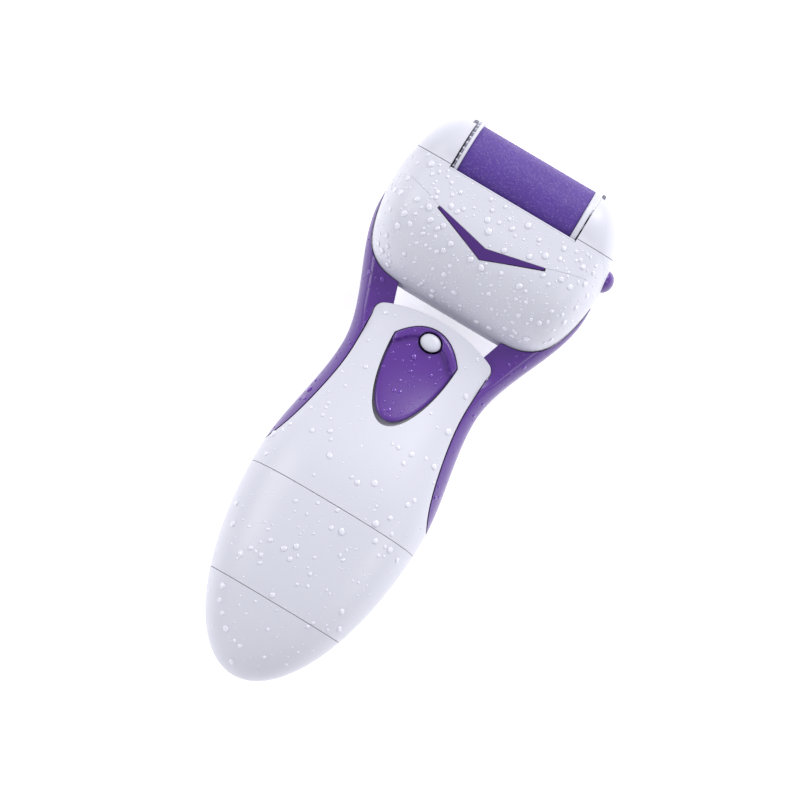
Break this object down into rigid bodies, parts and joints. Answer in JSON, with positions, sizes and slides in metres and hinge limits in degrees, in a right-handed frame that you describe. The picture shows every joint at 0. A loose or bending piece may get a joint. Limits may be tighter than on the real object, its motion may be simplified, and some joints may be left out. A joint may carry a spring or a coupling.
{
  "type": "electric callus remover",
  "caption": "Battery foot-care tool: tapered handle, two-armed yoke, rounded head with a driven abrasive roller, slide switch with lock and release button.",
  "frame": {"origin": "middle of the object's box in plan, at the surface it lies on, on its back", "axes": "+Y from the tail to the roller along the length, +X to its right seen from the front, +Z out of the front face with the switch"},
  "size_m": [0.0714, 0.1718, 0.0434],
  "materials": {
    "white_plastic": "satin-gloss moulded ABS with a faint lavender tint",
    "purple_plastic": "satin-gloss purple moulded ABS",
    "grey_plastic": "matt grey plastic",
    "black_plastic": "matt black plastic",
    "nylon": "natural nylon",
    "steel": "bright zinc-plated steel",
    "brass": "plain brass",
    "board": "green circuit board",
    "cell_jacket": "printed cell jacket",
    "grit": "fine violet abrasive coating",
    "red_wire": "red wire insulation"
  },
  "bodies": {
    "case": {"left_yoke_arm": "purple_plastic", "right_yoke_arm": "purple_plastic", "neck_front_plate": "white_plastic", "battery_bay_cover": "white_plastic", "handle_back_shell": "white_plastic", "cap_snap_collar": "grey_plastic", "switch_bezel": "grey_plastic", "lock_spring": "steel", "slide_switch_body": "black_plastic", "circuit_board": "board", "left_cell": "cell_jacket", "right_cell": "cell_jacket", "battery_cradle": "black_plastic", "positive_contact": "brass", "negative_spring": "steel", "head_front_housing": "white_plastic", "left_ear_cap": "white_plastic", "right_ear_cap": "white_plastic", "head_back_housing": "white_plastic", "chevron_inlay": "purple_plastic", "gear_pin": "steel", "motor_can": "steel", "motor_end_cap": "black_plastic", "motor_bracket": "steel", "release_spring": "steel", "left_handle_screw": "steel", "right_handle_screw": "steel", "left_arm_screw": "steel", "right_arm_screw": "steel", "red_lead": "red_wire", "black_lead": "black_plastic"},
    "carrier": {"roller_axle": "steel"},
    "roller": {"abrasive_sleeve": "grit", "roller_core": "nylon", "roller_drive_end": "white_plastic", "roller_idle_end": "white_plastic"},
    "drive_gear": {"two_step_gear": "nylon"},
    "motor_rotor": {"motor_pinion": "brass", "motor_shaft": "steel"},
    "slider": {"switch_slider": "purple_plastic", "switch_lever": "nylon"},
    "lock": {"lock_button": "white_plastic"},
    "release": {"release_button": "purple_plastic", "release_latch": "nylon"},
    "cap": {"tail_cap": "white_plastic", "bridge_contact": "brass"}
  },
  "joints": [
    {"name": "roller_lift_out", "type": "slide", "parent": "case", "child": "carrier", "axis": [0, 0.848, 0.5299], "range_m": [0, 0.04]},
    {"name": "roller_spin", "type": "hinge", "parent": "carrier", "child": "roller", "pos_m": [0, 0.0736, 0.0312], "axis": [1, 0, 0], "continuous": true},
    {"name": "drive_gear_spin", "type": "hinge", "parent": "case", "child": "drive_gear", "pos_m": [0, 0.05791, 0.02717], "axis": [1, 0, 0], "continuous": true},
    {"name": "motor_spin", "type": "hinge", "parent": "case", "child": "motor_rotor", "pos_m": [0, 0.0486, 0.0196], "axis": [1, 0, 0], "continuous": true},
    {"name": "switch_slide", "type": "slide", "parent": "case", "child": "slider", "axis": [0, -1, 0], "range_m": [0, 0.0013]},
    {"name": "lock_press", "type": "slide", "parent": "slider", "child": "lock", "axis": [0, 0, -1], "range_m": [0, 0.0008], "stiffness_N_per_m": 400},
    {"name": "release_press", "type": "slide", "parent": "case", "child": "release", "axis": [-1, 0, 0], "range_m": [0, 0.0018], "stiffness_N_per_m": 500, "deforming": ["release_spring"]},
    {"name": "tail_cap_pull", "type": "slide", "parent": "case", "child": "cap", "axis": [0, -1, 0], "range_m": [0, 0.06]}
  ],
  "couplings": [
    {"joint": "drive_gear_spin", "follows": "roller_spin", "ratio": -2.375},
    {"joint": "motor_spin", "follows": "roller_spin", "ratio": 5.5417}
  ]
}
